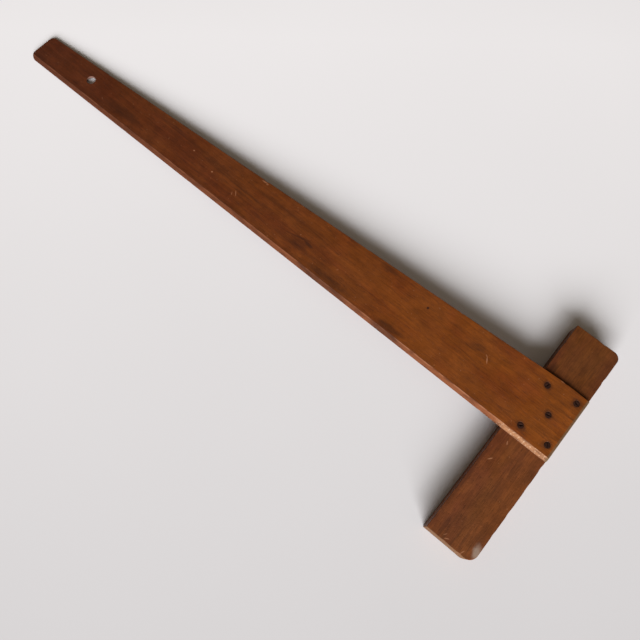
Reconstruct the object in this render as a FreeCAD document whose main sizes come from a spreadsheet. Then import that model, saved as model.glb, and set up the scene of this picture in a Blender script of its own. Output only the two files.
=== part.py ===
import FreeCAD, Part
import os
import Sketcher

# Fixed-head T-square in mahogany: a tapered blade laid on top of the head, held by five screws.
#
# Frame: the origin is where the head's guide face, the blade's working edge and the blade's
# underside meet. +X runs along the blade to its tip, +Y points out of the working edge and
# +Z out of the blade's top. Z = 0 is the drawing board's surface, so the head hangs below it.
# "Near" is the working-edge side (+Y) and "far" is the tapered-edge side (-Y).

# Driving dimensions, in millimetres.
DIMENSIONS = {
    "head_width": 50.8,
    "head_thickness": 22.2,
    "head_near_reach": 116.6,
    "head_far_reach": 132.5,
    "head_near_radius": 9.5,
    "head_far_radius": 7.5,
    "blade_reach": 648.4,
    "blade_thickness": 3.2,
    "blade_root_width": 74.3,
    "blade_end_width": 73.5,
    "blade_tip_width": 34.4,
    "knee_inset": 23.0,
    "tip_skew": 1.5,
    "tip_near_radius": 7.5,
    "tip_far_radius": 5.5,
    "bevel_width": 4.2,
    "edge_land": 1.0,
    "hanging_hole_diameter": 9.8,
    "hanging_hole_along": 572.2,
    "hanging_hole_across": 21.4,
    "screw_length": 15.9,
    "screw_head_diameter": 6.4,
    "screw_head_rim": 0.2,
    "screw_shank_diameter": 3.2,
    "screw_point_length": 5.0,
    "screw_recess": 0.15,
    "slot_width": 0.9,
    "slot_depth": 0.8,
    "clearance_hole_diameter": 3.4,
    # How far a cut's section runs on past the surface that it opens.
    "cut_overrun": 1.0,
    # Screw centres: inset from the guide face, and distance in from the working edge.
    "screw_one_inset": 12.5,
    "screw_one_across": 13.1,
    "screw_two_inset": 42.4,
    "screw_two_across": 13.8,
    "screw_three_inset": 27.3,
    "screw_three_across": 37.9,
    "screw_four_inset": 10.6,
    "screw_four_across": 61.2,
    "screw_five_inset": 42.0,
    "screw_five_across": 64.2,
}
# Each screw's number and the angle at which its slot was left, in degrees.
SCREWS = {"one": 32.0, "two": -58.0, "three": 12.0, "four": 74.0, "five": -21.0}
START_POINT, END_POINT, CENTRE_POINT = 1, 2, 3
CIRCLE_START_SIZE = 1.0
# An edge is upright if it rises through this share of its solid, and it stands at a corner
# if its middle is this near in plan, in millimetres.
UPRIGHT_SHARE = 0.9
CORNER_REACH = 2.0
COUNTERSINK_ANGLE = 90.0
FULL_TURN = 360.0
Z_AXIS = FreeCAD.Vector(0, 0, 1)

doc = FreeCAD.newDocument("t_square")
sheet = doc.addObject("Spreadsheet::Sheet", "Size")
for row, (alias, value) in enumerate(DIMENSIONS.items(), start=1):
    sheet.set(f"A{row}", alias)
    sheet.set(f"B{row}", str(value))
    sheet.setAlias(f"B{row}", alias)
doc.recompute()


def number(formula):
    """The present value of a formula on the sheet, to draw a sketch near its final size."""
    result = sheet.evalExpression(formula)
    return float(getattr(result, "Value", result))


def new_sketch(body, name, plane_role, height=None):
    """A sketch on one of the body's own origin planes, lifted along the normal by a formula."""
    plane = next(item for item in body.Origin.OriginFeatures if item.Role == plane_role)
    sketch = body.newObject("Sketcher::SketchObject", name)
    sketch.AttachmentSupport = [(plane, "")]
    sketch.MapMode = "FlatFace"
    if height:
        sketch.setExpression("AttachmentOffset.Base.z", height)
    return sketch


def bind_point(sketch, geometry, point, place):
    """Hold a sketch point at two coordinates, each a formula on the sheet."""
    for kind, formula in zip(("DistanceX", "DistanceY"), place):
        rule = Sketcher.Constraint(kind, geometry, point, number(formula))
        index = sketch.addConstraint(rule)
        sketch.setExpression(f"Constraints[{index}]", formula)


def draw_polygon(sketch, corners):
    """A closed polygon whose corners are pairs of formulas."""
    points = [FreeCAD.Vector(number(x), number(y), 0) for x, y in corners]
    count = len(corners)
    for index in range(count):
        segment = Part.LineSegment(points[index], points[(index + 1) % count])
        sketch.addGeometry(segment, False)
    for index in range(count):
        rule = Sketcher.Constraint("Coincident", index, END_POINT, (index + 1) % count, START_POINT)
        sketch.addConstraint(rule)
    for index, place in enumerate(corners):
        bind_point(sketch, index, START_POINT, place)


def draw_circle(sketch, place, diameter):
    centre = FreeCAD.Vector(number(place[0]), number(place[1]), 0)
    index = sketch.addGeometry(Part.Circle(centre, Z_AXIS, CIRCLE_START_SIZE), False)
    rule = sketch.addConstraint(Sketcher.Constraint("Diameter", index, number(diameter)))
    sketch.setExpression(f"Constraints[{rule}]", diameter)
    bind_point(sketch, index, CENTRE_POINT, place)


def pad_up(body, sketch, name, length, downwards=False):
    pad = body.newObject("PartDesign::Pad", name)
    pad.Profile = sketch
    pad.setExpression("Length", length)
    pad.Reversed = downwards
    return pad


def cut_through(body, sketch, name):
    pocket = body.newObject("PartDesign::Pocket", name)
    pocket.Profile = sketch
    pocket.Type = "ThroughAll"
    pocket.Midplane = True
    return pocket


def upright_edges_near(shape, places):
    """Names of the straight upright edges that stand at the given plan positions."""
    names = []
    for number_from_one, edge in enumerate(shape.Edges, start=1):
        low, high = edge.BoundBox.ZMin, edge.BoundBox.ZMax
        upright = high - low > UPRIGHT_SHARE * shape.BoundBox.ZLength
        middle = edge.CenterOfMass
        for x_formula, y_formula in places:
            gap = abs(middle.x - number(x_formula)) + abs(middle.y - number(y_formula))
            if upright and gap < CORNER_REACH:
                names.append(f"Edge{number_from_one}")
    return names


def round_upright(body, base, name, places, radius):
    doc.recompute()
    fillet = body.newObject("PartDesign::Fillet", name)
    fillet.Base = (base, upright_edges_near(base.Shape, places))
    fillet.setExpression("Radius", radius)
    return fillet


def screw_place(screw):
    return (f"-Size.screw_{screw}_inset", f"-Size.screw_{screw}_across")


def make_head():
    """The stock: a thick batten with sharp guide-side corners and two rounded outer corners."""
    body = doc.addObject("PartDesign::Body", "HeadBody")
    body.Label = "head_stock"
    outline = new_sketch(body, "HeadOutline", "XY_Plane")
    outer, near, far = "-Size.head_width", "Size.head_near_reach", "-Size.head_far_reach"
    draw_polygon(outline, [("0", far), ("0", near), (outer, near), (outer, far)])
    pad = pad_up(body, outline, "HeadPad", "Size.head_thickness", downwards=True)
    near_corner = round_upright(body, pad, "NearCorner", [(outer, near)], "Size.head_near_radius")
    round_upright(body, near_corner, "FarCorner", [(outer, far)], "Size.head_far_radius")
    doc.recompute()
    for screw in SCREWS:
        make_pilot_hole(body, screw)
    return body


def make_pilot_hole(body, screw):
    """The hole that a screw has cut for itself: a cylinder with the screw's own pointed end."""
    # This plane's normal is -Y, so the offset along it is the screw's distance across.
    sketch = new_sketch(body, f"Pilot_{screw}", "XZ_Plane", f"Size.screw_{screw}_across")
    axis_x = f"-Size.screw_{screw}_inset"
    side_x = f"{axis_x} + Size.screw_shank_diameter / 2"
    buried = "Size.screw_length - Size.blade_thickness + Size.screw_recess"
    tip_z = f"-({buried})"
    point_z = f"{tip_z} + Size.screw_point_length"
    draw_polygon(sketch, [(axis_x, "0"), (axis_x, tip_z), (side_x, point_z), (side_x, "0")])
    groove = body.newObject("PartDesign::Groove", f"PilotHole_{screw}")
    groove.Profile = sketch
    groove.ReferenceAxis = (sketch, ["Edge1"])
    groove.Angle = FULL_TURN
    doc.recompute()


def make_blade():
    """The tapered blade: knee over the head, bevelled working edge, holes and rounded tip."""
    body = doc.addObject("PartDesign::Body", "BladeBody")
    body.Label = "blade"
    outline = new_sketch(body, "BladeOutline", "XY_Plane")
    tip_far_x = "Size.blade_reach - Size.tip_skew"
    corners = [
        ("-Size.head_width", "0"),
        ("Size.blade_reach", "0"),
        (tip_far_x, "-Size.blade_tip_width"),
        ("-Size.knee_inset", "-Size.blade_root_width"),
        ("-Size.head_width", "-Size.blade_end_width"),
    ]
    draw_polygon(outline, corners)
    pad = pad_up(body, outline, "BladePad", "Size.blade_thickness")
    near_tip = round_upright(body, pad, "NearTip", [corners[1]], "Size.tip_near_radius")
    round_upright(body, near_tip, "FarTip", [corners[2]], "Size.tip_far_radius")
    doc.recompute()

    bevel = new_sketch(body, "BevelSection", "YZ_Plane")
    clear = "Size.cut_overrun"
    top = f"Size.blade_thickness + {clear}"
    slope = "(Size.blade_thickness - Size.edge_land) / Size.bevel_width"
    outer_z = f"Size.edge_land - {clear} * {slope}"
    inner_y = f"-Size.bevel_width - {clear} / ({slope})"
    draw_polygon(bevel, [(clear, outer_z), (clear, top), (inner_y, top)])
    cut_through(body, bevel, "Bevel")
    doc.recompute()

    hanging = new_sketch(body, "HangingHoleCircle", "XY_Plane")
    hole_place = ("Size.hanging_hole_along", "-Size.hanging_hole_across")
    draw_circle(hanging, hole_place, "Size.hanging_hole_diameter")
    cut_through(body, hanging, "HangingHole")
    doc.recompute()

    centres = new_sketch(body, "ScrewHoleCentres", "XY_Plane", "Size.blade_thickness")
    for screw in SCREWS:
        draw_circle(centres, screw_place(screw), "Size.clearance_hole_diameter")
    doc.recompute()
    holes = body.newObject("PartDesign::Hole", "ScrewHoles")
    holes.Profile = centres
    doc.recompute()
    holes.DepthType = "ThroughAll"
    holes.setExpression("Diameter", "Size.clearance_hole_diameter")
    holes.HoleCutType = "Countersink"
    holes.HoleCutCountersinkAngle = COUNTERSINK_ANGLE
    mouth = "Size.screw_head_diameter + 2 * (Size.screw_recess + Size.screw_head_rim)"
    holes.setExpression("HoleCutDiameter", mouth)
    doc.recompute()
    return body


def make_screw(screw, slot_angle):
    """A slotted countersunk wood screw, upright, with the top of its head at its own origin."""
    body = doc.addObject("PartDesign::Body", f"Screw_{screw}")
    body.Label = f"wood_screw_{screw}"
    section = new_sketch(body, f"ScrewSection_{screw}", "XZ_Plane")
    head_r = "Size.screw_head_diameter / 2"
    shank_r = "Size.screw_shank_diameter / 2"
    rim_z = "-Size.screw_head_rim"
    neck_z = f"{rim_z} - {head_r} + {shank_r}"
    point_z = "-Size.screw_length + Size.screw_point_length"
    profile = [
        ("0", "0"),
        ("0", "-Size.screw_length"),
        (shank_r, point_z),
        (shank_r, neck_z),
        (head_r, rim_z),
        (head_r, "0"),
    ]
    draw_polygon(section, profile)
    turned = body.newObject("PartDesign::Revolution", f"ScrewTurned_{screw}")
    turned.Profile = section
    turned.ReferenceAxis = (section, ["V_Axis"])
    turned.Angle = FULL_TURN
    doc.recompute()
    slot = new_sketch(body, f"ScrewSlot_{screw}", "YZ_Plane")
    half = "Size.slot_width / 2"
    floor = "-Size.slot_depth"
    top = "Size.cut_overrun"
    draw_polygon(slot, [(f"-{half}", floor), (half, floor), (half, top), (f"-{half}", top)])
    cut_through(body, slot, f"Slot_{screw}")
    doc.recompute()
    body.setExpression("Placement.Base.x", f"-Size.screw_{screw}_inset")
    body.setExpression("Placement.Base.y", f"-Size.screw_{screw}_across")
    body.setExpression("Placement.Base.z", "Size.blade_thickness - Size.screw_recess")
    body.Placement.Rotation = FreeCAD.Rotation(Z_AXIS, slot_angle)
    return body


def check_document(bodies):
    """Stop with a plain message if any object failed or any piece isn't one valid solid."""
    for item in doc.Objects:
        if "Invalid" in item.State or "Error" in item.State:
            raise RuntimeError(f"{item.Name} failed: {item.State}")
    for body in bodies:
        if body.Shape.isNull() or not body.Shape.isValid() or len(body.Shape.Solids) != 1:
            raise RuntimeError(f"{body.Label} isn't one valid solid")
        box = body.Shape.BoundBox
        print(f"{body.Label}: {body.Shape.Volume:.0f} mm3, x {box.XMin:.2f} to {box.XMax:.2f},"
              f" y {box.YMin:.2f} to {box.YMax:.2f}, z {box.ZMin:.2f} to {box.ZMax:.2f}")


pieces = [make_head(), make_blade()]
for screw_name, angle in SCREWS.items():
    pieces.append(make_screw(screw_name, angle))
doc.recompute()
check_document(pieces)
os.makedirs("parts", exist_ok=True)
for piece in pieces:
    piece.Shape.exportStep(f"parts/{piece.Label}.step")
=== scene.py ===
import math
import bmesh
import bpy
from mathutils import Euler, Matrix, Vector, noise


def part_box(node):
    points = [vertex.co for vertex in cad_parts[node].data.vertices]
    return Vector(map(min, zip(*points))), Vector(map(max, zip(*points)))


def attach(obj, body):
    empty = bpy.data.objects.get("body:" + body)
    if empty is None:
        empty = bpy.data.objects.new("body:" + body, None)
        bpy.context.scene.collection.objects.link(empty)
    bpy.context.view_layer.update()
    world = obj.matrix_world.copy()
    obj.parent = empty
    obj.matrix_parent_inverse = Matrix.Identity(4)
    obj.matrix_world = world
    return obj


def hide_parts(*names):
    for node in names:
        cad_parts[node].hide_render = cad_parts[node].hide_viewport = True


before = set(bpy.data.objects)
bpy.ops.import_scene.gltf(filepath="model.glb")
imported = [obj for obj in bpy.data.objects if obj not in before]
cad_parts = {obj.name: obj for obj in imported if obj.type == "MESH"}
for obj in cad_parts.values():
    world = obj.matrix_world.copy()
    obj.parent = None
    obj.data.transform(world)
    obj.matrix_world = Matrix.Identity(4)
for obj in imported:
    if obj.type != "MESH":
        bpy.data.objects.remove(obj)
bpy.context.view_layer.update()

# An old mahogany T-square. +X runs along the blade to its tip, +Y points out of the working
# edge, +Z out of the blade's top, and Z = 0 is the blade's underside. Sizes are in metres.

MM = 0.001

# Sizes from the CAD's boxes
BLADE_LOW, BLADE_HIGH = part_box("blade")
HEAD_LOW, HEAD_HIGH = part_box("head_stock")
SCREW_NODES = [f"wood_screw_{count}" for count in ("one", "two", "three", "four", "five")]
ROOT_WIDTH = -BLADE_LOW.y
BLADE_TOP = BLADE_HIGH.z
HEAD_OUTER = HEAD_LOW.x
HEAD_BASE = HEAD_LOW.z

# Sizes of the CAD that its boxes don't tell
BLADE_REACH = 648.4 * MM
TIP_WIDTH = 34.4 * MM
TIP_SKEW = 1.5 * MM
TIP_NEAR_RADIUS = 7.5 * MM
TIP_FAR_RADIUS = 5.5 * MM
KNEE_X = -23.0 * MM
END_WIDTH = 73.5 * MM
BEVEL_WIDTH = 4.2 * MM
EDGE_LAND = 1.0 * MM
HOLE_X, HOLE_Y = 572.2 * MM, -21.4 * MM
HOLE_RADIUS = 4.9 * MM
CLEARANCE_RADIUS = 1.7 * MM
SCREW_HEAD_RADIUS = 3.2 * MM
HEAD_NEAR_RADIUS = 9.5 * MM
HEAD_FAR_RADIUS = 7.5 * MM

# Sizes chosen for the looks
KNEE_RADIUS = 6.0 * MM
BLADE_END_RADIUS = 0.8 * MM
GUIDE_NEAR_RADIUS = 0.9 * MM
GUIDE_FAR_RADIUS = 1.0 * MM
COUNTERSINK_RADIUS = 3.55 * MM


# ---------------------------------------------------------------- node helpers

class Shader:
    """A material being built. Most methods add nodes and return the socket that holds the result."""

    def __init__(self, name):
        self.material = bpy.data.materials.new(name)
        self.material.use_nodes = True
        self.tree = self.material.node_tree
        self.tree.nodes.clear()
        self.output = self.add("ShaderNodeOutputMaterial")
        self.surface = self.add("ShaderNodeBsdfPrincipled")
        self.link(self.surface.outputs[0], self.output.inputs["Surface"])
        coords = self.add("ShaderNodeTexCoord")
        self.position = coords.outputs["Object"]
        split = self.add("ShaderNodeSeparateXYZ")
        self.link(self.position, split.inputs[0])
        self.x, self.y, self.z = split.outputs
        normal = self.add("ShaderNodeSeparateXYZ")
        self.link(coords.outputs["Normal"], normal.inputs[0])
        self.facing_up = self.ramp(normal.outputs[2], 0.1, 0.6)
        self.rough_edge = self.noise((160.0, 160.0, 160.0), detail=3.0)

    def add(self, kind):
        return self.tree.nodes.new(kind)

    def link(self, source, target):
        if isinstance(source, (int, float, tuple)):
            target.default_value = source
        else:
            self.tree.links.new(source, target)

    def math(self, operation, first, second=0.0, third=0.0, clamp=False):
        node = self.add("ShaderNodeMath")
        node.operation = operation
        node.use_clamp = clamp
        for value, socket in zip((first, second, third), node.inputs):
            self.link(value, socket)
        return node.outputs[0]

    def ramp(self, value, low, high, out_low=0.0, out_high=1.0, smooth=True):
        """Value mapped from low..high to out_low..out_high, clamped."""
        node = self.add("ShaderNodeMapRange")
        node.interpolation_type = "SMOOTHSTEP" if smooth else "LINEAR"
        for value_in, socket in zip((value, low, high, out_low, out_high), node.inputs):
            self.link(value_in, socket)
        return node.outputs[0]

    def stretched(self, scale, offset):
        node = self.add("ShaderNodeMapping")
        node.inputs["Scale"].default_value = scale
        node.inputs["Location"].default_value = offset
        self.link(self.position, node.inputs["Vector"])
        return node.outputs[0]

    def noise(self, scale, offset=(0.0, 0.0, 0.0), detail=3.0, roughness=0.5, distortion=0.0):
        """Noise whose three scales, in cells per metre, set its grain direction."""
        node = self.add("ShaderNodeTexNoise")
        node.inputs["Scale"].default_value = 1.0
        node.inputs["Detail"].default_value = detail
        node.inputs["Roughness"].default_value = roughness
        node.inputs["Distortion"].default_value = distortion
        self.link(self.stretched(scale, offset), node.inputs["Vector"])
        return node.outputs[0]

    def mix(self, factor, first, second, blend="MIX"):
        node = self.add("ShaderNodeMix")
        node.data_type = "RGBA"
        node.blend_type = blend
        factor_in, first_in, second_in = node.inputs[0], node.inputs[6], node.inputs[7]
        self.link(factor, factor_in)
        self.link(first, first_in)
        self.link(second, second_in)
        return node.outputs[2]

    def paint(self, colour, mask, strength, new_colour):
        """Colour with new_colour laid over it, at this strength where mask is 1."""
        return self.mix(self.math("MULTIPLY", mask, strength), colour, new_colour)

    def tint(self, amount, colour, dark, light):
        """Colour multiplied by a grey that runs from dark to light as amount goes from 0 to 1."""
        grey = self.ramp(amount, 0.0, 1.0, dark, light, smooth=False)
        node = self.add("ShaderNodeCombineXYZ")
        for socket in node.inputs:
            self.link(grey, socket)
        return self.mix(1.0, colour, node.outputs[0], "MULTIPLY")

    def bump(self, height, distance, normal=None):
        node = self.add("ShaderNodeBump")
        node.inputs["Distance"].default_value = distance
        self.link(height, node.inputs["Height"])
        if normal is not None:
            self.link(normal, node.inputs["Normal"])
        return node.outputs[0]

    def spot(self, centre, size, angle=0.0, ragged=0.35, softness=0.6):
        """1 inside an elliptical stain with a ragged, soft edge and 0 outside it."""
        turn_x, turn_y = math.cos(angle), math.sin(angle)
        half_length, half_width = size
        dx = self.math("SUBTRACT", self.x, centre[0])
        dy = self.math("SUBTRACT", self.y, centre[1])
        along = self.math("MULTIPLY", dy, turn_y / half_length)
        along = self.math("MULTIPLY_ADD", dx, turn_x / half_length, along)
        across = self.math("MULTIPLY", dx, -turn_y / half_width)
        across = self.math("MULTIPLY_ADD", dy, turn_x / half_width, across)
        squared = self.math("MULTIPLY_ADD", along, along, self.math("MULTIPLY", across, across))
        reach = self.math("SQRT", squared)
        wobble = self.math("MULTIPLY_ADD", self.rough_edge, ragged * 2.0, -ragged)
        return self.ramp(self.math("ADD", reach, wobble), 1.0 + softness / 2, 1.0 - softness / 2)


def rgb(red, green, blue):
    """A linear colour from the 0 to 255 values that a screen shows."""
    linear = []
    for channel in (red, green, blue):
        part = channel / 255
        linear.append(part / 12.92 if part <= 0.04045 else ((part + 0.055) / 1.055) ** 2.4)
    return (*linear, 1.0)


# ---------------------------------------------------------------- materials

IRON_STAIN = rgb(36, 21, 17)
GRIME = rgb(42, 24, 17)
BARE_WOOD = rgb(176, 122, 88)
WOOD_ROUGHNESS = (0.42, 0.62)
WOOD_SPECULAR = 0.14
WOOD_COAT = 0.03
WOOD_COAT_ROUGHNESS = 0.28
IRON_ROUGHNESS = (0.62, 0.85)
IRON_SPECULAR = 0.12
TABLE_ROUGHNESS = 0.6
TABLE_SPECULAR = 0.2


def wood_figure(s, colour, golden, red, along, streak_range, veining):
    """Mahogany's figure: bands, streaks, veins, fine fibre and short dark pores, along one axis."""
    def grain(length_wise, cross_wise, seed, **settings):
        scale = [cross_wise, cross_wise, cross_wise]
        scale[along] = length_wise
        return s.noise(tuple(scale), (seed, seed * 1.7, 0.0), **settings)

    bands = grain(3.5, 34.0, 3.1, detail=2.0, distortion=0.6)
    streaks = grain(9.0, 230.0, 7.7, detail=5.0, roughness=0.62, distortion=0.3)
    fibre = grain(60.0, 1900.0, 1.3, detail=3.0, roughness=0.6)
    pores = grain(130.0, 3000.0, 5.9, detail=1.0)
    clouds = grain(14.0, 26.0, 9.4, detail=4.0, roughness=0.6)
    colour = s.mix(s.ramp(clouds, 0.42, 0.66, 0.0, 0.8), colour, red)
    colour = s.mix(s.ramp(bands, 0.44, 0.7, 0.0, 0.6), colour, golden)
    colour = s.tint(s.ramp(streaks, 0.3, 0.7), colour, *streak_range)
    for seed, width in ((2.3, 0.016), (6.1, 0.010)):
        field = grain(2.4, 62.0, seed, detail=2.5, roughness=0.6, distortion=0.4)
        line = s.ramp(s.math("ABSOLUTE", s.math("SUBTRACT", field, 0.5)), width, 0.0)
        broken = s.ramp(grain(16.0, 90.0, seed + 4.0, detail=3.0), 0.42, 0.62)
        colour = s.paint(colour, s.math("MULTIPLY", line, broken), veining, GRIME)
    mottle = s.noise((75.0, 75.0, 75.0), (1.0, 3.0, 0.0), detail=5.0, roughness=0.65)
    colour = s.tint(s.ramp(mottle, 0.32, 0.68), colour, 0.86, 1.12)
    colour = s.tint(s.ramp(fibre, 0.3, 0.7), colour, 0.86, 1.13)
    threads = grain(22.0, 560.0, 4.4, detail=4.0, roughness=0.65)
    colour = s.tint(s.ramp(threads, 0.32, 0.68), colour, 0.93, 1.07)
    pore_mask = s.ramp(pores, 0.6, 0.7)
    colour = s.paint(colour, pore_mask, 0.35, GRIME)
    flecks = s.ramp(s.noise((430.0, 430.0, 430.0), (7.0, 7.0, 1.0), detail=1.0), 0.75, 0.8)
    colour = s.paint(colour, flecks, 0.32, BARE_WOOD)
    height = s.math("MULTIPLY_ADD", fibre, 0.5, s.math("MULTIPLY", streaks, 0.6))
    height = s.math("MULTIPLY_ADD", pore_mask, -0.5, height)
    return colour, height, streaks


def finish_wood(s, colour, height, worn):
    """Satin varnish over the wood, duller where it is worn, with shallow dents."""
    sheen_noise = s.noise((22.0, 22.0, 22.0), (4.0, 2.0, 0.0), detail=4.0)
    base = s.ramp(sheen_noise, 0.35, 0.65, *WOOD_ROUGHNESS)
    s.link(s.math("MULTIPLY_ADD", worn, 0.18, base, clamp=True), s.surface.inputs["Roughness"])
    s.link(colour, s.surface.inputs["Base Color"])
    dents = s.noise((420.0, 420.0, 420.0), (8.0, 1.0, 0.0), detail=2.0)
    normal = s.bump(s.ramp(dents, 0.25, 0.5), 0.00006)
    s.link(s.bump(height, 0.00012, normal), s.surface.inputs["Normal"])
    s.surface.inputs["Specular IOR Level"].default_value = WOOD_SPECULAR
    s.surface.inputs["Coat Weight"].default_value = WOOD_COAT
    s.surface.inputs["Coat Roughness"].default_value = WOOD_COAT_ROUGHNESS
    return s.material


# Marks on the wood: centre in x and y and half size in mm, then angle in radians and strength
BLADE_STAINS = [
    ((221.0, -8.5), (26.0, 4.0), 0.0, 0.45),
    ((143.0, -8.0), (15.0, 3.6), 0.05, 0.5),
    ((63.0, -49.0), (9.0, 4.0), 0.3, 0.35),
    ((177.0, -58.0), (10.0, 3.0), 0.05, 0.35),
    ((259.5, -25.0), (5.0, 1.7), -0.1, 0.6),
    ((273.0, -25.5), (13.0, 1.0), 0.25, 0.4),
    ((268.0, -20.0), (9.0, 5.0), 0.1, 0.3),
    ((430.0, -36.0), (60.0, 2.6), -0.05, 0.2),
    ((370.0, -30.0), (45.0, 2.0), -0.03, 0.2),
    ((300.0, -40.0), (50.0, 2.2), 0.02, 0.2),
    ((250.0, -16.0), (70.0, 2.4), 0.0, 0.2),
    ((514.0, -15.0), (22.0, 5.0), 0.0, 0.4),
    ((535.0, -9.0), (18.0, 2.5), 0.0, 0.3),
    ((24.5, -1.5), (2.0, 1.4), 0.0, 0.9),
    ((640.0, -6.0), (10.0, 8.0), 0.0, 0.25),
    ((124.7, -49.5), (1.3, 1.3), 0.0, 0.95),
]
BLADE_SCRATCHES = [
    ((48.6, -44.0), (0.5, 3.4), 0.55, 0.7),
    ((51.0, -47.0), (0.4, 1.8), 1.0, 0.4),
    ((356.0, -21.0), (0.4, 3.0), 0.7, 0.45),
    ((359.0, -18.0), (0.4, 2.0), 0.5, 0.4),
    ((424.0, -30.0), (1.0, 0.8), 0.0, 0.5),
    ((392.0, -23.5), (0.9, 0.8), 0.0, 0.6),
    ((341.0, -50.6), (3.4, 0.7), 0.1, 0.4),
    ((337.0, -49.9), (1.2, 0.7), 0.6, 0.4),
    ((-21.0, -73.4), (2.4, 0.6), 0.1, 0.3),
]


def mark(s, colour, marks, mark_colour, softness):
    """Paints a list of marks on the side that faces up."""
    for centre, size, angle, strength in marks:
        place = (centre[0] * MM, centre[1] * MM)
        mask = s.spot(place, (size[0] * MM, size[1] * MM), angle, softness=softness)
        mask = s.math("MULTIPLY", mask, s.facing_up)
        colour = s.paint(colour, mask, strength, mark_colour)
    return colour


def rubbed_wood(s, toward_head, over_head, streaks):
    """The bevel's colour: rubbed paler, most of all over the head, and dirty in patches, with a painted
    highlight along its upper arris and painted shade on the land over the head.
    """
    colour = s.mix(toward_head, rgb(82, 42, 25), rgb(128, 74, 43))
    colour = s.mix(over_head, colour, rgb(158, 110, 76))
    colour = s.tint(s.ramp(streaks, 0.3, 0.7), colour, 0.86, 1.1)
    patches = s.noise((70.0, 300.0, 300.0), (2.0, 6.0, 1.0), detail=4.0)
    colour = s.paint(colour, s.ramp(patches, 0.46, 0.62), 0.5, rgb(70, 38, 22))
    # Painted highlight: a thin pale line along the bevel's upper arris, stronger toward the head.
    upper_arris = s.ramp(s.y, -3.0 * MM, -3.7 * MM)
    upper_arris = s.math("MULTIPLY", upper_arris, s.ramp(patches, 0.56, 0.42))
    painted_arris_highlight = s.math("MULTIPLY", upper_arris, s.ramp(s.x, 0.35, 0.02, 0.1, 0.5))
    colour = s.mix(painted_arris_highlight, colour, rgb(168, 116, 84))
    specks = s.ramp(s.noise((650.0, 650.0, 650.0), (3.0, 1.0, 2.0), detail=2.0), 0.58, 0.66)
    specks = s.math("MULTIPLY", specks, over_head)
    colour = s.paint(colour, specks, 0.55, rgb(206, 172, 142))
    # Painted shade: the land is darker over the head, in the crease where the blade's edge meets the
    # head's top.
    land = s.ramp(s.z, EDGE_LAND + 0.5 * MM, EDGE_LAND - 0.2 * MM)
    land = s.math("MULTIPLY", land, over_head)
    colour = s.paint(colour, land, 0.55, rgb(92, 54, 34))

    # The first two stains lie beside the bevel and run over it.
    for (x, _), (half_length, _), _, strength in BLADE_STAINS[:2]:
        grimy = s.spot((x * MM, -2.0 * MM), (half_length * 1.2 * MM, 6.0 * MM), softness=1.0)
        colour = s.paint(colour, grimy, strength, GRIME)
    return colour


def blade_material():
    """Mahogany that is redder and darker toward the tip, worn and stained."""
    s = Shader("blade_mahogany")
    toward_head = s.ramp(s.x, 0.66, -0.04, smooth=False)
    over_head = s.ramp(s.x, 0.012, -0.004)
    colour = s.mix(toward_head, rgb(80, 38, 20), rgb(122, 64, 19))
    golden = s.mix(toward_head, rgb(88, 43, 20), rgb(130, 70, 25))
    red = s.mix(toward_head, rgb(75, 33, 17), rgb(111, 53, 20))
    colour, height, streaks = wood_figure(
        s, colour, golden, red, along=0, streak_range=(0.88, 1.1), veining=0.28)
    colour = mark(s, colour, BLADE_STAINS, GRIME, softness=1.0)
    colour = mark(s, colour, BLADE_SCRATCHES, BARE_WOOD, softness=0.8)

    # Iron has stained the wood round each screw.
    for node in SCREW_NODES:
        halo = s.spot(screw_centre(node), (4.7 * MM, 4.1 * MM), ragged=0.5, softness=1.1)
        colour = s.paint(colour, halo, 0.6, IRON_STAIN)

    # The hanging hole's wall is rubbed to a greyer, paler brown.
    reach = HOLE_RADIUS + 0.6 * MM
    wall = s.spot((HOLE_X, HOLE_Y), (reach, reach), ragged=0.0, softness=0.1)
    wall = s.math("MULTIPLY", wall, s.math("SUBTRACT", 1.0, s.facing_up))
    colour = s.paint(colour, wall, 0.6, rgb(140, 112, 102))

    # Dirt lies in a line along the bevel's upper arris, but not over the head.
    lip = s.ramp(s.y, -BEVEL_WIDTH - 0.9 * MM, -BEVEL_WIDTH - 0.2 * MM)
    lip = s.math("MULTIPLY", lip, s.ramp(s.y, -BEVEL_WIDTH + 1.2 * MM, -BEVEL_WIDTH + 0.5 * MM))
    lip = s.math("MULTIPLY", lip, s.math("SUBTRACT", 1.0, over_head))
    colour = s.paint(colour, lip, 0.35, GRIME)

    wavy_y = s.math("MULTIPLY_ADD", s.rough_edge, 0.9 * MM, s.y)
    bevel = s.ramp(wavy_y, -BEVEL_WIDTH + 0.1 * MM, -BEVEL_WIDTH + 0.8 * MM)
    bevel = s.math("MULTIPLY", bevel, s.ramp(s.z, 0.1 * MM, 0.4 * MM))
    colour = s.mix(bevel, colour, rubbed_wood(s, toward_head, over_head, streaks))

    # The arris at the head end is painted a thin pale grey line: partly wear, partly painted highlight
    # where the arris faces the window.
    head_arris = s.ramp(s.x, HEAD_OUTER + 2.9 * MM, HEAD_OUTER + 1.4 * MM)
    colour = s.paint(colour, head_arris, 0.75, rgb(106, 86, 62))
    return finish_wood(s, colour, height, s.math("MAXIMUM", bevel, head_arris))


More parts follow.
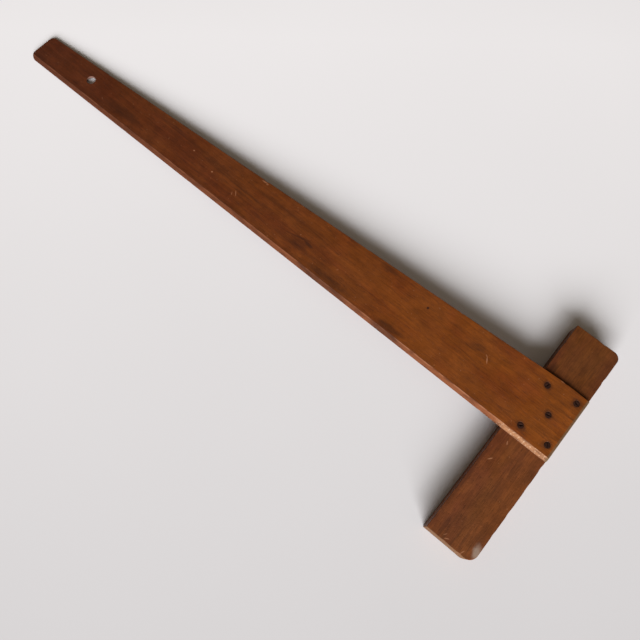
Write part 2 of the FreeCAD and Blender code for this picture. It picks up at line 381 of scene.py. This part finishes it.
HEAD_STAINS = [
    ((-12.0, 104.0), (2.5, 10.0), 0.0, 0.4),
    ((-33.0, 102.0), (1.2, 12.0), 0.05, 0.25),
    ((-26.0, 106.0), (1.0, 9.0), -0.05, 0.22),
    ((-46.0, 20.0), (4.0, 9.0), 0.1, 0.25),
    ((-44.0, 86.0), (4.0, 16.0), -0.1, 0.25),
    ((-1.5, 60.0), (2.0, 40.0), 0.0, 0.35),
    ((-6.0, -80.0), (3.0, 5.0), 0.0, 0.4),
    ((-26.0, 74.0), (9.0, 30.0), -0.12, 0.2),
]
HEAD_SCRATCHES = [
    ((-20.5, 113.0), (2.4, 0.45), 0.5, 0.45),
    ((-17.0, 111.0), (2.0, 0.4), 1.0, 0.35),
    ((-38.0, 113.5), (2.3, 0.45), 1.2, 0.5),
    ((-9.0, 30.0), (2.4, 0.5), 0.9, 0.6),
    ((-13.0, 8.0), (0.6, 2.0), 0.4, 0.5),
]


def head_material():
    """Mahogany with its grain along Y, worn at the near end."""
    s = Shader("head_mahogany")
    golden, red = rgb(121, 71, 28), rgb(97, 49, 28)
    colour, height, _ = wood_figure(
        s, rgb(109, 60, 29), golden, red, along=1, streak_range=(0.92, 1.06), veining=0.25)

    # The wood is darker past the blade's far edge.
    colour = s.tint(s.ramp(s.y, -70.0 * MM, -76.0 * MM), colour, 1.0, 0.74)
    colour = mark(s, colour, HEAD_STAINS, GRIME, softness=1.1)
    colour = mark(s, colour, HEAD_SCRATCHES, BARE_WOOD, softness=0.8)

    # The upper part of the near outer corner is rubbed to a pale grey.
    corner = s.spot((-48.0 * MM, 105.0 * MM), (3.4 * MM, 5.6 * MM), 0.3, ragged=0.5, softness=1.3)
    corner = s.math("MULTIPLY", corner, s.ramp(s.z, -7.0 * MM, -1.0 * MM))
    colour = s.paint(colour, corner, 0.7, rgb(158, 138, 122))

    # The near end face and its arrises are rubbed to a greyer brown.
    end = s.ramp(s.y, HEAD_HIGH.y - 0.9 * MM, HEAD_HIGH.y - 0.3 * MM)
    colour = s.paint(colour, end, 0.65, rgb(112, 84, 58))
    return finish_wood(s, colour, height, s.math("MAXIMUM", end, corner))


def iron_material():
    """Oxidised iron, too rusty to shine like metal."""
    s = Shader("dark_iron")
    blotch = s.noise((900.0, 900.0, 900.0), detail=4.0, roughness=0.65)
    colour = s.mix(s.ramp(blotch, 0.35, 0.65), rgb(30, 15, 10), rgb(56, 30, 19))
    s.link(colour, s.surface.inputs["Base Color"])
    s.surface.inputs["Metallic"].default_value = 0.0
    s.surface.inputs["Specular IOR Level"].default_value = IRON_SPECULAR
    s.link(s.ramp(blotch, 0.3, 0.7, *IRON_ROUGHNESS), s.surface.inputs["Roughness"])
    s.link(s.bump(blotch, 0.00008), s.surface.inputs["Normal"])
    return s.material


def floor_material():
    """A matt table top, with painted shade that makes it a little greyer toward the near end of the
    head.
    """
    s = Shader("pale_table")
    # Painted light and shade: the table runs from grey near the head's near end to white away from it.
    away_x, away_y = 0.64, -0.77
    away = s.math("MULTIPLY_ADD", s.x, away_x, s.math("MULTIPLY", s.y, away_y))
    near_painted_shade, far_painted_light = rgb(203, 201, 202), rgb(242, 240, 241)
    colour = s.mix(s.ramp(away, -0.26, 0.45, smooth=False), near_painted_shade, far_painted_light)
    cloud = s.noise((3.0, 3.0, 3.0), detail=2.0)
    colour = s.tint(s.ramp(cloud, 0.3, 0.7), colour, 0.985, 1.0)
    s.link(colour, s.surface.inputs["Base Color"])
    s.surface.inputs["Roughness"].default_value = TABLE_ROUGHNESS
    s.surface.inputs["Specular IOR Level"].default_value = TABLE_SPECULAR
    return s.material


# ---------------------------------------------------------------- mesh helpers

def screw_centre(node):
    """The (x, y) of a CAD screw's axis."""
    low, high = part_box(node)
    return ((low.x + high.x) / 2, (low.y + high.y) / 2)


SIDE_SPACING = 1.6 * MM
CORNER_STEPS = 14
ARRIS_STEPS = 6


def side(start, end):
    """Points from start up to, but not at, the end of one straight side of an outline."""
    steps = max(1, round((end - start).length / SIDE_SPACING))
    return [start.lerp(end, step / steps) for step in range(steps)]


def corner_arc(corner, before, after, radius):
    """Points of the arc that rounds a corner between the sides from before and to after."""
    back = (before - corner).normalized()
    ahead = (after - corner).normalized()
    half_angle = back.angle(ahead) / 2
    centre = corner + (back + ahead).normalized() * radius / math.sin(half_angle)
    reach = radius / math.tan(half_angle)
    first, last = corner + back * reach, corner + ahead * reach
    sweep = math.pi - 2 * half_angle
    middle = (corner - centre).normalized()
    turn = 1.0 if (first - centre).cross(last - centre) > 0 else -1.0
    points = []
    for step in range(CORNER_STEPS + 1):
        angle = turn * sweep * (step / CORNER_STEPS - 0.5)
        cos_a, sin_a = math.cos(angle), math.sin(angle)
        ray = Vector((middle.x * cos_a - middle.y * sin_a, middle.x * sin_a + middle.y * cos_a))
        points.append(centre + ray * radius)
    return points


def rounded_outline(corners):
    """A closed outline, anticlockwise, from (corner, radius) pairs."""
    count = len(corners)
    arcs = []
    for index, (corner, radius) in enumerate(corners):
        before, after = corners[index - 1][0], corners[(index + 1) % count][0]
        arcs.append(corner_arc(corner, before, after, radius))
    points = []
    for index, arc in enumerate(arcs):
        points += arc[:-1]
        points += side(arc[-1], arcs[(index + 1) % count][0])
    return points


def edge_profile(bottom, top, bottom_round, top_round, between=()):
    """(inset, height) pairs up a board's edge: a quarter round at each arris, and rows between."""
    profile = []
    for step in range(ARRIS_STEPS + 1):
        angle = math.pi / 2 * step / ARRIS_STEPS
        inset = bottom_round * (1 - math.sin(angle))
        profile.append((inset, bottom + bottom_round * (1 - math.cos(angle))))
    profile += [(0.0, height) for height in between]
    for step in range(ARRIS_STEPS + 1):
        angle = math.pi / 2 * step / ARRIS_STEPS
        inset = top_round * (1 - math.cos(angle))
        profile.append((inset, top - top_round * (1 - math.sin(angle))))
    return profile


def new_object(name, mesh):
    """An object with this mesh, its normals facing out."""
    data = bpy.data.meshes.new(name)
    bmesh.ops.recalc_face_normals(mesh, faces=mesh.faces)
    mesh.to_mesh(data)
    mesh.free()
    item = bpy.data.objects.new(name, data)
    bpy.context.scene.collection.objects.link(item)
    return item


def skinned(name, rings):
    """A closed solid with smooth sides over rings of points, bottom to top or top to bottom."""
    mesh = bmesh.new()
    rings = [[mesh.verts.new(point) for point in ring] for ring in rings]
    count = len(rings[0])
    for ring, following in zip(rings, rings[1:]):
        for index in range(count):
            after = (index + 1) % count
            corners = (ring[index], ring[after], following[after], following[index])
            mesh.faces.new(corners).smooth = True
    mesh.faces.new(list(reversed(rings[0])))
    mesh.faces.new(rings[-1])
    return new_object(name, mesh)


def board(name, outline, profile, shape_point):
    """A board whose edge follows profile all round outline. shape_point adjusts each vertex."""
    count = len(outline)
    rings = []
    for inset, height in profile:
        ring = []
        for index, point in enumerate(outline):
            tangent = (outline[(index + 1) % count] - outline[index - 1]).normalized()
            outward = Vector((tangent.y, -tangent.x))
            ring.append(shape_point(Vector((point.x, point.y, height)), outward, inset))
        rings.append(ring)
    return skinned(name, rings)


def turned(name, rows, centre):
    """A solid about an upright axis. A row holds one (radius, height) pair for each step round it."""
    rings = []
    for row in rows:
        ring = []
        for step, (radius, height) in enumerate(row):
            angle = 2 * math.pi * step / len(row)
            x, y = centre[0] + radius * math.cos(angle), centre[1] + radius * math.sin(angle)
            ring.append((x, y, height))
        rings.append(ring)
    return skinned(name, rings)


def lathe(name, profile, centre, segments=48):
    """A turned solid that is round at every height, from (radius, height) pairs."""
    return turned(name, [[pair] * segments for pair in profile], centre)


def carve(item, cutters):
    """Cuts each cutter out of item for good, and removes the cutters."""
    for cutter in cutters:
        cut = item.modifiers.new("cut", "BOOLEAN")
        cut.operation = "DIFFERENCE"
        cut.solver = "EXACT"
        cut.object = cutter
    cut_item = item.evaluated_get(bpy.context.evaluated_depsgraph_get())
    shaped = bpy.data.meshes.new_from_object(cut_item)
    item.modifiers.clear()
    item.data = shaped
    for cutter in cutters:
        bpy.data.objects.remove(cutter)


def adopt(item, node, material):
    """Gives a piece its material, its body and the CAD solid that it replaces."""
    item.data.materials.clear()
    item.data.materials.append(material)
    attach(item, "root")
    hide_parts(node)


def nick(place, centre, radius, depth):
    """How deep a nick is at this place, in metres. Its centre, radius and depth are in mm."""
    gap = (Vector((place.x, place.y)) - Vector((centre[0] * MM, centre[1] * MM))).length
    return depth * MM * max(0.0, 1.0 - (gap / (radius * MM)) ** 2)


def wander(place, cells_per_metre, seed, size):
    """How far an edge drifts in or out at this place, in metres. The size is in mm."""
    spot = Vector((place.x * cells_per_metre, place.y * cells_per_metre, seed))
    return noise.noise(spot) * size * MM


# ---------------------------------------------------------------- the blade

# Nicks in an edge: centre, radius and depth in mm
BLADE_NICKS = [
    ((339.5, -50.8), 3.6, 0.8), ((-23.0, -74.3), 3.0, 0.7), ((470.0, -43.5), 2.2, 0.35),
    ((560.0, -38.8), 2.5, 0.4), ((210.0, -60.0), 2.6, 0.3), ((95.0, -67.0), 2.4, 0.35),
    ((500.0, 0.0), 2.4, 0.25), ((402.0, 0.0), 3.0, 0.3), ((318.0, 0.0), 2.2, 0.3),
    ((24.5, 0.0), 2.6, 0.5), ((-47.5, 0.0), 2.6, 0.5), ((180.0, 0.0), 2.0, 0.25),
]


def shape_blade(place, outward, inset):
    """Rounds the arris, cuts the bevel's plane and adds wear."""
    drift = wander(place, 28, 3.0, 0.10) + wander(place, 110, 8.0, 0.04)
    nicks = sum(nick(place, *dent) for dent in BLADE_NICKS)
    wear = (abs(drift) + nicks) * (0.4 + 0.6 * place.z / BLADE_TOP)
    x = place.x - outward.x * (inset + wear)
    y = place.y - outward.y * (inset + wear)
    if place.z > EDGE_LAND:
        rise = (place.z - EDGE_LAND) / (BLADE_TOP - EDGE_LAND)
        waver = noise.noise(Vector((place.x * 45, 1.0, place.z * 300))) * 0.25 * MM * rise
        y = min(y, -BEVEL_WIDTH * rise - waver - wear * 0.5)
    return (x, y, place.z)


def make_blade():
    corners = [
        (Vector((HEAD_OUTER, -END_WIDTH)), BLADE_END_RADIUS),
        (Vector((KNEE_X, -ROOT_WIDTH)), KNEE_RADIUS),
        (Vector((BLADE_REACH - TIP_SKEW, -TIP_WIDTH)), TIP_FAR_RADIUS),
        (Vector((BLADE_REACH, 0.0)), TIP_NEAR_RADIUS),
        (Vector((HEAD_OUTER, 0.0)), BLADE_END_RADIUS),
    ]

    # Rows close round the land's top keep it crisp, and two more carry the bevel up.
    land_rows = [EDGE_LAND - 0.12 * MM, EDGE_LAND, EDGE_LAND + 0.15 * MM]
    bevel_rows = [1.6 * MM, 2.1 * MM]
    lower_arris, upper_arris = 0.3 * MM, 0.55 * MM
    profile = edge_profile(0.0, BLADE_TOP, lower_arris, upper_arris, land_rows + bevel_rows)
    blade = board("blade_board", rounded_outline(corners), profile, shape_blade)

    overshoot = 0.5 * MM
    worn_rim = 0.35 * MM
    hole = [
        (HOLE_RADIUS + worn_rim * 1.5, -overshoot), (HOLE_RADIUS, worn_rim),
        (HOLE_RADIUS, BLADE_TOP - worn_rim), (HOLE_RADIUS + worn_rim * 0.4, BLADE_TOP - worn_rim * 0.3),
        (HOLE_RADIUS + worn_rim * 1.4, BLADE_TOP + overshoot),
    ]
    cutters = [lathe("hole_cutter", hole, (HOLE_X, HOLE_Y))]

    # A countersink's wall slopes at 45 degrees, so it is as deep as it is wide.
    depth = COUNTERSINK_RADIUS - CLEARANCE_RADIUS
    sink = [
        (CLEARANCE_RADIUS, -2 * overshoot), (CLEARANCE_RADIUS, BLADE_TOP - depth),
        (COUNTERSINK_RADIUS + overshoot, BLADE_TOP + overshoot),
    ]
    for node in SCREW_NODES:
        cutters.append(lathe("sink_cutter", sink, screw_centre(node)))
    carve(blade, cutters)
    adopt(blade, "blade", blade_material())


# ---------------------------------------------------------------- the head

HEAD_NICKS = [
    ((-50.8, 7.5), 4.0, 0.5), ((-50.8, 59.4), 5.0, 0.4), ((-50.8, 30.0), 6.0, 0.3),
    ((-50.8, 84.0), 4.0, 0.4), ((-20.0, 116.6), 4.0, 0.5), ((-37.0, 116.6), 3.0, 0.6),
    ((0.0, 70.0), 4.0, 0.4), ((0.0, 25.0), 3.0, 0.4), ((0.0, -110.0), 3.0, 0.5),
    ((-30.0, -132.5), 4.0, 0.5), ((-50.8, -100.0), 4.0, 0.5), ((0.0, 104.0), 3.0, 0.5),
]


def shape_head(place, outward, inset):
    """Rounds the arris and adds wear, with the nicks only in the top 3 mm."""
    drift = wander(place, 30, 5.0, 0.12) + wander(place, 110, 2.0, 0.06)
    nicks = sum(nick(place, *dent) for dent in HEAD_NICKS)
    nearness_to_top = max(0.0, 1.0 - abs(place.z) / (3.0 * MM))
    wear = abs(drift) + nicks * nearness_to_top
    return (place.x - outward.x * (inset + wear), place.y - outward.y * (inset + wear), place.z)


def make_head():
    corners = [
        (Vector((HEAD_OUTER, HEAD_LOW.y)), HEAD_FAR_RADIUS),
        (Vector((0.0, HEAD_LOW.y)), GUIDE_FAR_RADIUS),
        (Vector((0.0, HEAD_HIGH.y)), GUIDE_NEAR_RADIUS),
        (Vector((HEAD_OUTER, HEAD_HIGH.y)), HEAD_NEAR_RADIUS),
    ]
    arris = 0.6 * MM
    profile = edge_profile(HEAD_BASE, 0.0, arris, arris)
    head = board("head_batten", rounded_outline(corners), profile, shape_head)
    pilot_radius, pilot_point, overshoot = 1.6 * MM, 5.0 * MM, 1.0 * MM
    cutters = []
    for node in SCREW_NODES:
        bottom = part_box(node)[0].z
        pilot = [(0.05 * MM, bottom), (pilot_radius, bottom + pilot_point), (pilot_radius, overshoot)]
        cutters.append(lathe("pilot_cutter", pilot, screw_centre(node), 24))
    carve(head, cutters)
    adopt(head, "head_stock", head_material())


# ---------------------------------------------------------------- the screws

# Each slot's turn from the X axis in degrees, as in the CAD
SLOT_ANGLES = (32.0, -58.0, 12.0, 74.0, -21.0)


def make_screw(node, slot_angle, iron):
    """A slotted countersunk wood screw with a rolled thread and a gimlet point."""
    low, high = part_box(node)
    centre = screw_centre(node)
    shank, core = 1.55 * MM, 1.15 * MM
    pitch, crest_width, point_length = 1.3 * MM, 0.3, 4.5 * MM
    segments, thread_steps = 32, 120
    top, rim = high.z, high.z - 0.25 * MM
    neck = rim - (SCREW_HEAD_RADIUS - shank)
    thread_top = neck - 2.0 * MM
    smooth_part = [(0.02 * MM, top), (1.6 * MM, top), (2.8 * MM, top - 0.02 * MM)]
    smooth_part += [(3.1 * MM, top - 0.09 * MM), (SCREW_HEAD_RADIUS, rim), (shank, neck)]
    smooth_part += [(shank, thread_top)]
    rows = [[pair] * segments for pair in smooth_part]
    for step in range(1, thread_steps + 1):
        height = thread_top + (low.z - thread_top) * step / thread_steps
        taper = max(min(1.0, (height - low.z) / point_length), 0.02)
        row = []
        for turn in range(segments):
            phase = (height / pitch + turn / segments) % 1.0
            crest = max(0.0, 1.0 - abs(phase - 0.5) / crest_width)
            row.append(((core + (shank - core) * crest) * taper, height))
        rows.append(row)
    screw = turned(node.replace("wood_screw", "iron_screw"), rows, centre)

    slot_length, slot_width, slot_depth = 9.0 * MM, 0.8 * MM, 0.6 * MM
    slot_mesh = bmesh.new()
    bmesh.ops.create_cube(slot_mesh, size=1.0)
    for vert in slot_mesh.verts:
        x, y, z = vert.co
        local = Vector((x * slot_length, y * slot_width, z * 2 * slot_depth))
        local.rotate(Euler((0, 0, math.radians(slot_angle))))
        vert.co = local + Vector((centre[0], centre[1], top))
    carve(screw, [new_object("slot_cutter", slot_mesh)])
    adopt(screw, node, iron)


make_blade()
make_head()
iron = iron_material()
for screw_node, slot_angle in zip(SCREW_NODES, SLOT_ANGLES):
    make_screw(screw_node, slot_angle, iron)


# ---------------------------------------------------------------- floor, light and camera

# The square rests on the head's guide-side lower arris and on its tip, so the floor slopes.
SLOPE = math.atan2(-HEAD_BASE, BLADE_REACH)
FLOOR_HALF_WIDTH = 6.0
FLOOR_GAP = 0.1 * MM
floor_mesh = bmesh.new()
bmesh.ops.create_grid(floor_mesh, x_segments=1, y_segments=1, size=FLOOR_HALF_WIDTH)
floor = new_object("floor", floor_mesh)
floor.data.materials.append(floor_material())
floor.rotation_euler = (0.0, -SLOPE, 0.0)
floor.location = (0.0, 0.0, HEAD_BASE - FLOOR_GAP)


def aim(item, location, target, up):
    """Stands an item at location with its -Z toward target and its +Y near up."""
    ahead = (target - location).normalized()
    right = ahead.cross(up).normalized()
    true_up = right.cross(ahead)
    item.matrix_world = Matrix((
        (right.x, true_up.x, -ahead.x, location.x),
        (right.y, true_up.y, -ahead.y, location.y),
        (right.z, true_up.z, -ahead.z, location.z),
        (0.0, 0.0, 0.0, 1.0),
    ))


# The camera fitted to the photo
CAMERA_PLACE = Vector((0.0787, 0.1792, 0.6260))
CAMERA_TARGET = Vector((0.1995, 0.0283, 0.0))
PICTURE_UP = Vector((0.6144, -0.7318, 0.2949))
SENSOR_WIDTH_MM = 36.0
LENS_MM = 37.125
camera_data = bpy.data.cameras.new("camera")
camera_data.sensor_width = SENSOR_WIDTH_MM
camera_data.lens = LENS_MM
camera_data.clip_start = 0.01
camera = bpy.data.objects.new("camera", camera_data)
bpy.context.scene.collection.objects.link(camera)
aim(camera, CAMERA_PLACE, CAMERA_TARGET, PICTURE_UP)
bpy.context.scene.camera = camera


# A window past the working edge, wide and low, throws the shadows to the far side.
MIDDLE = Vector((0.25, -0.02, 0.0))
WINDOW_DISTANCE = 9.0
WINDOW_ELEVATION = math.radians(27.0)
WINDOW_SWING = math.radians(32.0)
WINDOW_SIZE = (8.4, 5.0)
WINDOW_POWER = 1790.0
WINDOW_COLOUR = (0.99, 1.0, 1.02)
toward_window = Vector((
    -math.sin(WINDOW_SWING) * math.cos(WINDOW_ELEVATION),
    math.cos(WINDOW_SWING) * math.cos(WINDOW_ELEVATION),
    math.sin(WINDOW_ELEVATION),
))
window_data = bpy.data.lights.new("window", "AREA")
window_data.shape = "RECTANGLE"
window_data.size, window_data.size_y = WINDOW_SIZE
window_data.energy = WINDOW_POWER
window_data.color = WINDOW_COLOUR
window = bpy.data.objects.new("window", window_data)
bpy.context.scene.collection.objects.link(window)
aim(window, MIDDLE + toward_window * WINDOW_DISTANCE, MIDDLE, Vector((0.0, 0.0, 1.0)))

# Dim, warm light from all round fills the shadows.
FILL_COLOUR = (1.0, 0.82, 0.62, 1.0)
FILL_STRENGTH = 0.14
world = bpy.data.worlds.new("room")
bpy.context.scene.world = world
world.use_nodes = True
background = world.node_tree.nodes["Background"]
background.inputs["Color"].default_value = FILL_COLOUR
background.inputs["Strength"].default_value = FILL_STRENGTH
bpy.context.scene.view_settings.view_transform = "Standard"
